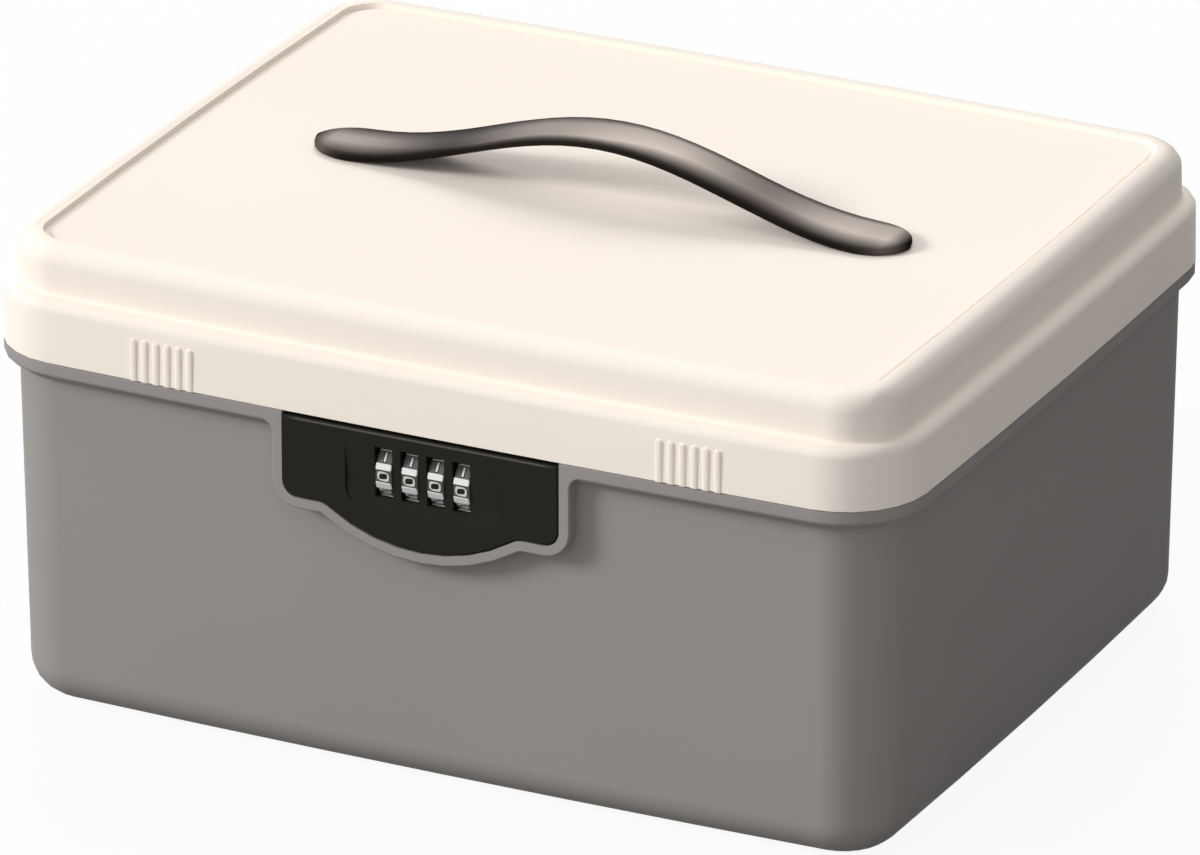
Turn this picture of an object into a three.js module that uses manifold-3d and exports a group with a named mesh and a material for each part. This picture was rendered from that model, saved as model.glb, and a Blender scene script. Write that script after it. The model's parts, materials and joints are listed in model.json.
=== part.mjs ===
// Medication lock box: a moulded grey body with a flange, a stepped cream lid on a
// pinned back hinge, a strap handle, and a four-dial combination lock in the front wall.
// Millimetres, +Z up, front towards -Y. Heights are measured from the base.
import * as THREE from 'three';
import { mergeVertices } from 'three/addons/utils/BufferGeometryUtils.js';
import Module from 'manifold-3d';

const wasm = await Module();
wasm.setup();

// Overall size
const lidWidth = 310;
const lidDepth = 248.4;
const partingHeight = 119.2;
const lidHeight = 35.7;
const cornerRadius = 25.8;
const longSideBow = 2.2;
const shortSideBow = 1.6;
const leastCornerRadius = 3;

// Clearances
const seatGap = 0.2;
const partingGap = 0.2;
const slideGap = 0.3;
const cutOverrun = 1;
const weldDepth = 0.6;
const leastEdge = 0.01;

// Body shell
const wallInset = 5;
const wallThickness = 2.5;
const wallDraftAngle = 0.9;
const floorThickness = 2.6;
const bottomFillet = 12.6;
const footWidth = 9;
const footHeight = 1;
const footSlope = 0.8;

// Flange and locating lip round the mouth of the body
const flangeInset = 0.15;
const flangeBand = 3.3;
const flangeRounding = 1.5;
const flangeCove = 1.8;
const flangeUnderAngle = 35;
const flangeEdge = 0.4;
const lipClearance = 0.7;
const lipThickness = 2.4;
const lipHeight = 5;
const lipLead = 0.7;
const lipTaperHeight = 1.6;

// Lid shell
const lidWall = 2.6;
const skirtDraft = 0.25;
const skirtEdge = 0.2;
const skirtFace = 16.8;
const shoulderRadius = 3.4;
const valleyRadius = 1.5;
const tierInset = 5.3;
const tierDraft = 0.2;
const tierTopRadius = 5.7;
const tierCornerTrim = 2;
const rimWidth = 2.1;
const rimDepth = 1.7;
const rimSlope = 0.4;
const grooveWidth = 1.7;
const grooveSlope = 0.3;
const panelRise = 0.4;
const ceilingRadius = 3;
const innerShoulderRadius = 1.2;

// Finger ribs on the front of the skirt
const ribCount = 6;
const ribPitch = 3.88;
const ribWidth = 2;
const ribHeight = 13.9;
const ribProud = 0.7;
const ribEdge = 0.4;
const ribGroupOffset = 89.2;

// Strap handle
const handleLength = 203.8;
const handleShiftX = 3.1;
const handleShiftY = -1.8;
const handleWidth = 21;
const paddleWidth = 23.4;
const paddleEndLength = 15;
const handleThickness = 2.5;
const handleCrown = 0.9;
const handleEdge = 0.7;
const handleRise = 18.4;
const archEndInset = 11.7;
const paddleFromShare = 0.5;
const paddleToShare = 0.84;
const handleBossRadius = 4;
const handleBossInset = 13;
const handleBossClearance = 0.3;
const handleScrewRadius = 1.5;
const handleScrewHeadRadius = 3.2;
const handleScrewHeadHeight = 1.9;
const handleScrewRoof = 1.3;
const washerRadius = 7;
const washerThickness = 1.2;

// Hinge at the back
const hingeOffset = 4.2;
const hingeDrop = 2;
const knuckleRadius = 3.5;
const hingePinRadius = 1.25;
const hingeCentre = 85;
const bodyKnuckleLength = 9;
const lidKnuckleLength = 14;
const hingePinStub = 0.2;
const knuckleTopGap = 0.7;
const gussetDrop = 7.5;
const lidArmHeight = 7.8;
const lidArmFrontAngle = 151;
const lidArmBackAngle = 51;
const wallEmbed = 1.2;

// Lock face plate and the raised frame that holds it
const plateWidth = 93.4;
const plateShift = -0.9;
const plateTopGap = 1.3;
const plateFlatDrop = 27.9;
const plateBottomDrop = 38.5;
const plateArcRadius = 55;
const plateBlendRadius = 8;
const plateCornerRadius = 5;
const plateInset = 0.2;
const plateThickness = 3.9;
const plateEdge = 0.5;
const plateGap = 0.35;
const frameWidth = 3.4;
const frameEdge = 0.6;
const frameFlare = 4;
const frameFlareDrop = 0.7;
const frameRise = 2;
const dishWidth = 52.4;
const dishDepth = 0.9;
const dishTopGap = 4.6;
const dishBottomDrop = 27.4;
const dishSlopeHeight = 9;
const dishCornerRadius = 7;
const wellWall = 1.2;

// Number wheels
const wheelCount = 4;
const wheelPitch = 8.8;
const wheelWidth = 5.4;
const wheelRadius = 10.2;
const wheelDrop = 15.5;
const wheelProud = 0.4;
const facetCount = 10;
const facetDepth = 0.55;
const wheelEdge = 0.3;
const ridgeWidth = 2;
const ridgeFootWidth = 2.4;
const windowHeight = 16.6;
const windowGap = 0.3;
const windowRise = 1.1;

// Code sleeves inside the wheels, on a sliding shaft
const shaftRadius = 1.9;
const shaftClearance = 0.2;
const shaftEndGap = 0.1;
const shaftCollarRadius = 3.2;
const shaftCollarWidth = 1.5;
const shaftTravel = 2;
const sleeveRadius = 4;
const boreClearance = 0.15;
const hingeClearance = 0.1;
const sleeveEndGap = 0.2;
const keyWidth = 1;
const keyHeight = 0.5;
const keyLength = 1.2;
const rimDiscRadius = 5.6;
const rimDiscThickness = 0.8;
const gateWidth = 2.4;
const gateDepth = 2;
const gateAngle = 9;

// Lock case behind the front wall
const caseHalfWidth = 28;
const caseWall = 2;
const cheekThickness = 3.5;
const caseWheelGap = 0.5;
const caseStepGap = 0.4;
const caseNoseGap = 1.4;
const padFace = 8.75;
const padMargin = 13;
const padBelow = 4;
const padLeadHeight = 6;
const pocketFloor = 4.35;
const openingGap = 0.4;
const earLength = 11;
const earHeight = 6.5;
const earThickness = 2.4;
const postRadius = 3;
const postOffset = 34;
const postClearance = 0.3;
const tongueHeight = 3.4;
const lockScrewRadius = 1.35;
const lockScrewHeadRadius = 2.7;
const lockScrewHeadHeight = 1.8;
const lockScrewLength = 6.2;
const screwTipClearance = 0.3;
const frontWallRise = 0.7;
const ledgeReach = 5.2;
const ledgeThickness = 1.7;

// Spring latch bolt with its fence comb
const boltHalfWidth = 23;
const boltDepth = 9;
const boltHeight = 4.9;
const boltSeatGap = 1.1;
const boltHeadroom = 0.4;
const boltBackMargin = 0.35;
const boltNotchHalfWidth = 3;
const boltNotchDepth = 4;
const boltNoseHalfWidth = 4.6;
const boltNoseHeight = 3.4;
const boltNoseRamp = 1.1;
const boltNosePoint = 0.9;
const boltTravel = 2.9;
const boltCatchGap = 0.5;
const fenceThickness = 1.5;
const fenceClearHeight = 2.8;
const fenceDrop = 3.3;
const fenceRimGap = 0.4;
const fenceSideGap = 0.3;
const finWidth = 1.4;

// Catch plate on the lid
const catchThickness = 1.5;
const catchTopHalfWidth = 15;
const catchTopHeight = 12;
const catchHeadroom = 1.6;
const catchNeckHalfWidth = 9;
const catchLeadIn = 2;
const catchSillHeight = 1.5;
const catchWindowHalfWidth = 5.4;
const catchWindowBelow = 0.3;
const catchWindowAbove = 0.7;
const catchSlotGap = 0.8;
const catchPadThickness = 5;
const catchPadMargin = 2;
const catchRibWidth = 2;
const catchRibDrop = 11;
const catchScrewOffset = 10.5;
const catchScrewDrop = 6;
const catchScrewRadius = 1.2;
const catchScrewHeadRadius = 2.3;
const catchScrewHeadHeight = 1.4;
const catchScrewDepth = 3;

// Reset lever on the shaft
const leverHubRadius = 3.4;
const leverWidth = 2.4;
const leverArmHeight = 2.8;
const leverTabWidth = 6;
const leverTabHeight = 5;
const leverTabDepth = 2;
const leverTabGap = 0.8;
const leverSideGap = 0.3;

// Detent comb and coil springs
const detentThickness = 0.5;
const detentWheelGap = 0.35;
const detentFingerWidth = 3.2;
const detentMargin = 0.7;
const detentBaseDepth = 7.8;
const detentPegRadius = 1.2;
const detentPegHeight = 1.2;
const springWireRadius = 0.35;
const boltSpringRadius = 2;
const boltSpringCurls = 4;
const shaftSpringRadius = 3;
const shaftSpringCurls = 3;
const springEndGap = 0.15;

// Screw heads, as shares of the head's radius and height
const panHeadTopShare = 0.7;
const panHeadEdgeShare = 0.5;
const screwSlotShare = 0.14;
const screwRecessShare = 0.55;
const screwRecessDepthShare = 0.6;

// Facets
const cornerSteps = 6;
const longSideSteps = 6;
const shortSideSteps = 4;
const arcSteps = 4;
const roundSteps = 20;
const smallRoundSteps = 12;
const handleSteps = 28;
const handleEndSteps = 7;
const springStepsPerCurl = 8;
const springSides = 5;

// Levels and planes that several pieces share
const skirtFront = -(lidDepth / 2 + longSideBow);
const skirtBack = -skirtFront;
const closedHeight = partingHeight + lidHeight;
const panelLevel = closedHeight - rimDepth + panelRise;
const ceilingLevel = panelLevel - lidWall;
const ledgeLevel = partingHeight + skirtFace + shoulderRadius;
const tierInnerInset = tierInset + tierDraft + lidWall;
const hingeY = skirtBack + hingeOffset;
const hingeZ = partingHeight - hingeDrop;
const plateFace = skirtFront + plateInset;
const plateBack = plateFace + plateThickness;
const plateTop = partingHeight - plateTopGap;
const plateFlatHeight = partingHeight - plateFlatDrop;
const plateBottomHeight = partingHeight - plateBottomDrop;
const dishBottomHeight = partingHeight - dishBottomDrop;
const wheelY = plateFace - wheelProud + wheelRadius;
const wheelBack = wheelY + wheelRadius;
const wheelHeight = partingHeight - wheelDrop;
const wheelTop = wheelHeight + wheelRadius;
const padPlane = skirtFront + padFace;
const pocketBack = skirtFront + pocketFloor;
const legFront = wheelBack + boltTravel;
const legBack = legFront + fenceThickness;
const boltBack = legBack + boltBackMargin;
const boltFront = boltBack - boltDepth;
const boltSeatHeight = wheelTop + boltSeatGap;
const boltBottom = boltSeatHeight + seatGap;
const boltTop = boltBottom + boltHeight;
const boltMiddle = (boltBottom + boltTop) / 2;
const noseBottom = boltBottom + seatGap;
const noseTop = noseBottom + boltNoseHeight;
const catchFront = boltBack + boltCatchGap;
const catchBack = catchFront + catchThickness;
const catchTop = ceilingLevel - catchHeadroom;
const catchWindowBottom = noseBottom - catchWindowBelow;
const catchWindowTop = noseTop + catchWindowAbove;
const catchBottomHeight = catchWindowBottom - catchSillHeight;
const noseTip = catchBack + boltNosePoint;
const casePlane = padPlane + seatGap / 2;
const caseInner = noseTip + caseNoseGap;
const caseBack = caseInner + caseWall;
const cheekInner = caseHalfWidth - cheekThickness;
const caseFloor = wheelHeight - wheelRadius - caseWheelGap;
const caseBottomHeight = caseFloor - caseWall;
const caseStepHeight = wheelTop + caseStepGap;
const caseCeiling = boltTop + boltHeadroom;
const caseTopHeight = caseCeiling + caseWall;
const handleHalf = handleLength / 2;
const archLength = handleLength - archEndInset * 2;
const paddleBottom = panelLevel + seatGap;
const wheelSpan = (wheelCount - 1) * wheelPitch;
const wheelCentres = Array.from({ length: wheelCount }, (_, index) => index * wheelPitch - wheelSpan / 2);
const discOffset = wheelPitch - wheelWidth / 2 - slideGap;
const stackLeft = wheelCentres[0] - wheelWidth / 2 - sleeveEndGap;
const stackRight = wheelCentres[wheelCount - 1] + discOffset;
const leverRight = stackLeft - leverSideGap;
const shaftLeft = -caseHalfWidth + shaftTravel + shaftEndGap;
const shaftRight = caseHalfWidth - shaftEndGap;
const combFront = wheelBack + detentWheelGap;
const detentPegY = combFront + detentBaseDepth / 2;
const fullTurn = Math.PI * 2;

// Directions for extruding: a profile in (y, z) pushed along +x, and one in (x, z) pushed to the front
const unitX = new THREE.Vector3(1, 0, 0);
const unitY = new THREE.Vector3(0, 1, 0);
const unitZ = new THREE.Vector3(0, 0, 1);
const alongX = new THREE.Matrix4().makeBasis(unitY, unitZ, unitX);
const towardsFront = new THREE.Matrix4().makeBasis(unitX, unitZ, unitY.clone().negate());

// Materials
function plastic(color, roughness) {
  return new THREE.MeshStandardMaterial({ color, roughness, metalness: 0 });
}

function metal(color, roughness) {
  return new THREE.MeshStandardMaterial({ color, roughness, metalness: 1 });
}

const greyPlastic = () => plastic(0x8f8c89, 0.55);
const creamPlastic = () => plastic(0xf6ece0, 0.5);
const blackPlastic = () => plastic(0x262522, 0.42);
const casePlastic = () => plastic(0x2d2c2a, 0.6);
const handlePlastic = () => plastic(0x4a4542, 0.35);
const chromeMetal = () => metal(0xc8c8c6, 0.2);
const steelMetal = () => metal(0xa9aaab, 0.35);
const brassMetal = () => metal(0xb08d4a, 0.35);

// Solids: closed meshes that can be joined and cut
function solidOf(geometry) {
  const bare = geometry.clone();
  bare.deleteAttribute('normal');
  bare.deleteAttribute('uv');
  const merged = mergeVertices(bare);
  const mesh = new wasm.Mesh({
    numProp: 3,
    vertProperties: new Float32Array(merged.attributes.position.array),
    triVerts: new Uint32Array(merged.index.array),
  });
  mesh.merge();
  return new wasm.Manifold(mesh);
}

function geometryOf(solid) {
  const mesh = solid.getMesh();
  const geometry = new THREE.BufferGeometry();
  geometry.setAttribute('position', new THREE.BufferAttribute(new Float32Array(mesh.vertProperties), 3));
  geometry.setIndex(new THREE.BufferAttribute(new Uint32Array(mesh.triVerts), 1));
  geometry.computeVertexNormals();
  return geometry;
}

function joined(solids) {
  return solids.reduce((sum, solid) => sum.add(solid));
}

function cut(solid, tools) {
  return tools.reduce((rest, tool) => rest.subtract(tool), solid);
}

function piece(name, solid, material) {
  const mesh = new THREE.Mesh(geometryOf(solid), material);
  mesh.name = name;
  return mesh;
}

// A block between two corners
function block(low, high) {
  const size = high.map((value, axis) => value - low[axis]);
  const geometry = new THREE.BoxGeometry(...size);
  geometry.translate(...low.map((value, axis) => value + size[axis] / 2));
  return solidOf(geometry);
}

// A shape as plain points, without the doubled ones where its lines and arcs meet
function plainShape(shape) {
  const points = shape.getPoints(arcSteps);
  const apart = (a, b) => a.distanceTo(b) > leastEdge;
  const kept = points.filter((point, index) => index === 0 || apart(point, points[index - 1]));
  if (!apart(kept[0], kept[kept.length - 1])) {
    kept.pop();
  }
  return new THREE.Shape(kept);
}

// A profile in (y, z) extruded from one x to another
function extrudedAlongX(shape, fromX, toX, edge = 0) {
  const geometry = new THREE.ExtrudeGeometry(plainShape(shape), {
    depth: toX - fromX - edge * 2,
    bevelEnabled: edge > 0,
    bevelThickness: edge,
    bevelSize: edge,
    bevelOffset: -edge,
    bevelSegments: 1,
  });
  geometry.applyMatrix4(alongX);
  geometry.translate(fromX + edge, 0, 0);
  return solidOf(geometry);
}

// A profile in (x, z) extruded from the back plane to the front plane, its front edge bevelled if asked
function extrudedToFront(shape, backY, frontY, edge = 0) {
  const geometry = new THREE.ExtrudeGeometry(plainShape(shape), {
    depth: backY - frontY - edge,
    bevelEnabled: edge > 0,
    bevelThickness: edge,
    bevelSize: edge,
    bevelOffset: -edge,
    bevelSegments: 1,
  });
  geometry.applyMatrix4(towardsFront);
  geometry.translate(0, backY, 0);
  const solid = solidOf(geometry);
  if (edge === 0) {
    return solid;
  }
  const box = solid.boundingBox();
  const back = block(
    [box.min[0] - edge, backY, box.min[2] - edge],
    [box.max[0] + edge, backY + edge + cutOverrun, box.max[2] + edge],
  );
  return solid.subtract(back);
}

function polygon(points) {
  return new THREE.Shape(points.map(([u, v]) => new THREE.Vector2(u, v)));
}

function disc(u, v, radius, steps = roundSteps) {
  return polygon(Array.from({ length: steps }, (_, step) => {
    const angle = (fullTurn * (step + 0.5)) / steps;
    return [u + radius * Math.cos(angle), v + radius * Math.sin(angle)];
  }));
}

// A round rod along x, centred on a line at (y, z)
function rodAlongX(y, z, radius, fromX, toX, steps = roundSteps) {
  return extrudedAlongX(disc(y, z, radius, steps), fromX, toX);
}

// A round rod along y, centred on a line at (x, z)
function rodAlongY(x, z, radius, backY, frontY, steps = roundSteps) {
  return extrudedToFront(disc(x, z, radius, steps), backY, frontY);
}

// A round rod along z, centred on a line at (x, y)
function rodAlongZ(x, y, radius, lowZ, highZ, steps = roundSteps) {
  const geometry = new THREE.ExtrudeGeometry(disc(x, y, radius, steps), {
    depth: highZ - lowZ,
    bevelEnabled: false,
  });
  geometry.translate(0, 0, lowZ);
  return solidOf(geometry);
}

// Points on an arc of a wall profile, as [inset, height]; angles in degrees
function arc(inset, height, radius, from, to, steps = arcSteps) {
  return Array.from({ length: steps + 1 }, (_, step) => {
    const angle = THREE.MathUtils.degToRad(from + ((to - from) * step) / steps);
    return [inset + radius * Math.cos(angle), height + radius * Math.sin(angle)];
  });
}

// The plan outline of the box at an inset from the lid's skirt: a rounded rectangle with bowed sides
function boxOutline(inset, height, trim = 0) {
  const halfX = lidWidth / 2 - inset;
  const halfY = lidDepth / 2 - inset;
  const radius = Math.max(cornerRadius - inset - trim, leastCornerRadius);
  const corners = [
    [-halfX + radius, -halfY + radius, 180, longSideSteps],
    [halfX - radius, -halfY + radius, 270, shortSideSteps],
    [halfX - radius, halfY - radius, 0, longSideSteps],
    [-halfX + radius, halfY - radius, 90, shortSideSteps],
  ];
  const points = [];
  corners.forEach(([x, y, start, sideSteps], index) => {
    for (let step = 0; step <= cornerSteps; step += 1) {
      const angle = THREE.MathUtils.degToRad(start + (90 * step) / cornerSteps);
      points.push(new THREE.Vector3(x + radius * Math.cos(angle), y + radius * Math.sin(angle), height));
    }
    const [nextX, nextY, nextStart] = corners[(index + 1) % corners.length];
    const nextAngle = THREE.MathUtils.degToRad(nextStart);
    const next = new THREE.Vector3(
      nextX + radius * Math.cos(nextAngle),
      nextY + radius * Math.sin(nextAngle),
      height,
    );
    const last = points[points.length - 1].clone();
    for (let step = 1; step < sideSteps; step += 1) {
      points.push(last.clone().lerp(next, step / sideSteps));
    }
  });
  const onLongSide = (point) => Math.abs(point.y) > halfY - radius;
  const onShortSide = (point) => Math.abs(point.x) > halfX - radius;
  return points.map((point) => {
    const bowY = onLongSide(point) ? longSideBow * Math.max(0, 1 - (point.x / halfX) ** 2) : 0;
    const bowX = onShortSide(point) ? shortSideBow * Math.max(0, 1 - (point.y / halfY) ** 2) : 0;
    return new THREE.Vector3(
      point.x + Math.sign(point.x) * bowX,
      point.y + Math.sign(point.y) * bowY,
      height,
    );
  });
}

// How far the front or back of the plan outline stands from the centre line at an x
function sideReach(x, inset) {
  return lidDepth / 2 - inset + longSideBow * (1 - (x / (lidWidth / 2 - inset)) ** 2);
}

// A closed skin through a row of rings, with a fan over the first and the last
function lofted(rings) {
  const count = rings[0].length;
  const points = rings.flat();
  const indices = [];
  for (let ring = 0; ring < rings.length - 1; ring += 1) {
    for (let step = 0; step < count; step += 1) {
      const a = ring * count + step;
      const b = ring * count + ((step + 1) % count);
      indices.push(a, b, b + count, a, b + count, a + count);
    }
  }
  const middleOf = (ring) => ring
    .reduce((sum, point) => sum.add(point), new THREE.Vector3())
    .divideScalar(count);
  const firstCentre = points.length;
  const lastCentre = firstCentre + 1;
  points.push(middleOf(rings[0]), middleOf(rings[rings.length - 1]));
  const lastRing = (rings.length - 1) * count;
  for (let step = 0; step < count; step += 1) {
    const next = (step + 1) % count;
    indices.push(firstCentre, next, step);
    indices.push(lastCentre, lastRing + step, lastRing + next);
  }
  const geometry = new THREE.BufferGeometry();
  const positions = points.flatMap((point) => point.toArray());
  geometry.setAttribute('position', new THREE.Float32BufferAttribute(positions, 3));
  geometry.setIndex(indices);
  return solidOf(geometry);
}

// A shell swept round the plan outline: each profile entry is [inset, height, corner trim]
function moulding(profile) {
  return lofted(profile.map(([inset, height, trim]) => boxOutline(inset, height, trim)));
}

// Body shell

function bodyWallInset(height) {
  const slope = Math.tan(THREE.MathUtils.degToRad(wallDraftAngle));
  return wallInset + (partingHeight - height) * slope;
}

function bodyProfile() {
  const flangeTop = partingHeight - partingGap;
  const bandBottom = flangeTop - flangeBand;
  const underAngle = THREE.MathUtils.degToRad(flangeUnderAngle);
  const coveStart = 90 - flangeUnderAngle;
  const bandArc = arc(
    flangeInset + flangeRounding, bandBottom, flangeRounding, 180 + coveStart, 180,
  );
  const [slopeInset, slopeHeight] = bandArc[0];
  const coveInset = wallInset - flangeCove;
  const coveEdge = coveInset + flangeCove * Math.sin(underAngle);
  const coveHeight = slopeHeight - (coveEdge - slopeInset) * Math.tan(underAngle)
    - flangeCove * Math.cos(underAngle);
  const filletInset = bodyWallInset(bottomFillet) + bottomFillet;
  const footInset = filletInset + footWidth;
  const innerFillet = bottomFillet - floorThickness;
  const floorLevel = footHeight + floorThickness;
  const innerWall = (height) => bodyWallInset(height) + wallThickness;
  const lipInset = lidWall + lipClearance;
  const lipTop = partingHeight + lipHeight;
  const taperTop = bandBottom;
  return [
    [footInset + footSlope, footHeight],
    [footInset, 0],
    ...arc(filletInset, bottomFillet, bottomFillet, 270, 180, arcSteps + 2),
    ...arc(coveInset, coveHeight, flangeCove, 0, coveStart, 3),
    ...bandArc,
    [flangeInset, flangeTop - flangeEdge],
    [flangeInset + flangeEdge, flangeTop],
    [lipInset, flangeTop],
    [lipInset, lipTop - lipLead],
    [lipInset + lipLead, lipTop],
    [lipInset + lipThickness, lipTop],
    [lipInset + lipThickness, taperTop],
    [innerWall(taperTop), taperTop - lipTaperHeight],
    ...arc(innerWall(innerFillet) + innerFillet, floorLevel + innerFillet, innerFillet, 180, 270),
  ];
}

// The outline of the lock plate and of the frame round it, grown outwards by a margin
function lockOutline(margin, top, flare = 0) {
  const half = plateWidth / 2 + margin;
  const flat = plateFlatHeight - margin;
  const corner = plateCornerRadius + margin;
  const arcRadius = plateArcRadius + margin;
  const blend = Math.max(plateBlendRadius - margin, leastCornerRadius);
  const arcCentre = plateBottomHeight + plateArcRadius;
  const drop = arcCentre - flat + blend;
  const reach = arcRadius + blend;
  const blendX = Math.sqrt(reach ** 2 - drop ** 2);
  const turn = Math.atan2(blendX, drop);
  const shape = new THREE.Shape();
  const rise = flare > 0 ? frameRise : 0;
  shape.moveTo(-half - flare, top + rise);
  if (flare > 0) {
    shape.lineTo(-half - flare, top);
    shape.absarc(-half - flare, top - flare, flare, Math.PI / 2, 0, true);
  }
  shape.lineTo(-half, flat + corner);
  shape.absarc(-half + corner, flat + corner, corner, Math.PI, Math.PI * 1.5, false);
  shape.absarc(-blendX, flat - blend, blend, Math.PI / 2, Math.PI / 2 - turn, true);
  shape.absarc(0, arcCentre, arcRadius, Math.PI * 1.5 - turn, Math.PI * 1.5 + turn, false);
  shape.absarc(blendX, flat - blend, blend, Math.PI / 2 + turn, Math.PI / 2, true);
  shape.absarc(half - corner, flat + corner, corner, Math.PI * 1.5, fullTurn, false);
  if (flare > 0) {
    shape.absarc(half + flare, top - flare, flare, Math.PI, Math.PI / 2, true);
  }
  shape.lineTo(half + flare, top + rise);
  return shape;
}

function bodyKnuckle(fromX, toX) {
  const top = partingHeight - knuckleTopGap;
  const foot = hingeZ - knuckleRadius - gussetDrop;
  const gusset = polygon([
    [sideReach(fromX, wallInset + wallEmbed), top],
    [sideReach(fromX, wallInset + wallEmbed), foot],
    [sideReach(fromX, wallInset), foot],
    [hingeY, hingeZ - knuckleRadius],
    [hingeY, top],
  ]);
  return joined([
    rodAlongX(hingeY, hingeZ, knuckleRadius, fromX, toX),
    extrudedAlongX(gusset, fromX, toX),
  ]);
}

const hingeCentres = [-hingeCentre, hingeCentre];

function bodyKnuckles() {
  const inner = lidKnuckleLength / 2 + slideGap;
  const outer = inner + bodyKnuckleLength;
  return hingeCentres.map((centre) => joined([
    bodyKnuckle(centre - outer, centre - inner),
    bodyKnuckle(centre + inner, centre + outer),
  ]));
}

function hingeBores() {
  const reach = lidKnuckleLength / 2 + slideGap + bodyKnuckleLength + cutOverrun;
  const radius = hingePinRadius + hingeClearance;
  return hingeCentres.map((centre) => rodAlongX(hingeY, hingeZ, radius, centre - reach, centre + reach));
}

const lockPosts = [-1, 1].flatMap((side) => [
  [side * postOffset, caseFloor + earHeight / 2],
  [side * postOffset, caseStepHeight - earHeight / 2],
]);

function bodyTub() {
  const flangeTop = partingHeight - partingGap;
  const flangeFace = moulding([
    [flangeInset, plateBottomHeight - plateArcRadius],
    [flangeInset, flangeTop - flangeEdge],
  ]);
  const frame = extrudedToFront(
    lockOutline(plateGap + frameWidth, flangeTop - flangeBand - frameFlareDrop, frameFlare),
    padPlane - weldDepth, skirtFront + flangeInset, frameEdge,
  ).translate(plateShift, 0, 0).intersect(flangeFace);
  const padHalf = caseHalfWidth + padMargin;
  const padTop = flangeTop - flangeEdge;
  const pad = extrudedAlongX(polygon([
    [padPlane, caseBottomHeight - padBelow],
    [padPlane, padTop],
    [pocketBack + weldDepth, padTop],
    [pocketBack + weldDepth, padTop - padLeadHeight],
    [padPlane - wallThickness, caseBottomHeight - padBelow],
  ]), -padHalf, padHalf);
  const pocket = extrudedToFront(
    lockOutline(plateGap, flangeTop + cutOverrun), pocketBack, plateFace - cutOverrun,
  ).translate(plateShift, 0, 0);
  const opening = block(
    [-caseHalfWidth - openingGap, plateFace, caseBottomHeight - openingGap],
    [caseHalfWidth + openingGap, padPlane + cutOverrun, caseStepHeight + openingGap],
  );
  const postHoles = lockPosts.map(([x, z]) => rodAlongY(
    x, z, postRadius + postClearance, padPlane + cutOverrun, plateFace, smallRoundSteps,
  ));
  const shell = joined([moulding(bodyProfile()), frame, pad, ...bodyKnuckles()]);
  return cut(shell, [pocket, opening, ...postHoles, ...hingeBores()]);
}

// Lid shell

function lidProfile() {
  const shoulderLevel = partingHeight + skirtFace;
  const innerInset = tierInset + tierDraft + lidWall;
  const ledgeUnderside = ledgeLevel - lidWall;
  const skirtInner = lidWall + skirtDraft;
  const topCentre = closedHeight - tierTopRadius;
  const topInset = tierInset + tierDraft + tierTopRadius;
  const rimInset = topInset + rimWidth;
  const grooveInset = rimInset + rimSlope + grooveWidth;
  const grooveLevel = closedHeight - rimDepth;
  const trimmed = (points) => points.map(([inset, height]) => [inset, height, tierCornerTrim]);
  const valley = arc(tierInset - valleyRadius, ledgeLevel + valleyRadius, valleyRadius, 270, 360);
  return [
    ...trimmed(arc(innerInset + ceilingRadius, ceilingLevel - ceilingRadius, ceilingRadius, 90, 180)),
    [innerInset, ledgeUnderside + valleyRadius / 2, tierCornerTrim],
    [innerInset - valleyRadius / 2, ledgeUnderside, tierCornerTrim],
    ...arc(skirtInner + innerShoulderRadius, shoulderLevel, innerShoulderRadius, 90, 180, 2),
    [lidWall, partingHeight],
    [skirtEdge, partingHeight],
    [0, partingHeight + skirtEdge],
    ...arc(skirtDraft + shoulderRadius, shoulderLevel, shoulderRadius, 180, 90),
    ...valley.map(([inset, height], step) => [inset, height, (tierCornerTrim * step) / arcSteps]),
    ...trimmed(arc(topInset, topCentre, tierTopRadius, 180, 90)),
    [rimInset, closedHeight, tierCornerTrim],
    [rimInset + rimSlope, grooveLevel, tierCornerTrim],
    [grooveInset, grooveLevel, tierCornerTrim],
    [grooveInset + grooveSlope, panelLevel, tierCornerTrim],
  ];
}

function ribs() {
  const half = ribWidth / 2;
  const topCentre = partingHeight + ribHeight - half;
  const shape = new THREE.Shape();
  shape.moveTo(-half, partingHeight);
  shape.lineTo(half, partingHeight);
  shape.absarc(0, topCentre, half, 0, Math.PI, false);
  const offsets = Array.from({ length: ribCount }, (_, index) => (index - (ribCount - 1) / 2) * ribPitch);
  const centres = [-ribGroupOffset, ribGroupOffset].flatMap((group) => offsets.map((x) => group + x));
  return centres.map((x) => {
    const face = -sideReach(x, 0);
    return extrudedToFront(shape, face + weldDepth, face - ribProud, ribEdge).translate(x, 0, 0);
  });
}

function lidKnuckles() {
  const half = lidKnuckleLength / 2;
  const onKnuckle = (degrees) => {
    const angle = THREE.MathUtils.degToRad(degrees);
    const radius = knuckleRadius - seatGap;
    return [hingeY + radius * Math.cos(angle), hingeZ + radius * Math.sin(angle)];
  };
  return hingeCentres.map((centre) => {
    const inner = sideReach(centre, wallEmbed);
    const arm = polygon([
      [inner, partingHeight + knuckleTopGap],
      onKnuckle(lidArmFrontAngle),
      onKnuckle(lidArmBackAngle),
      [inner, partingHeight + knuckleTopGap + lidArmHeight],
    ]);
    return joined([
      rodAlongX(hingeY, hingeZ, knuckleRadius, centre - half, centre + half),
      extrudedAlongX(arm, centre - half, centre + half),
    ]);
  });
}

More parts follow.
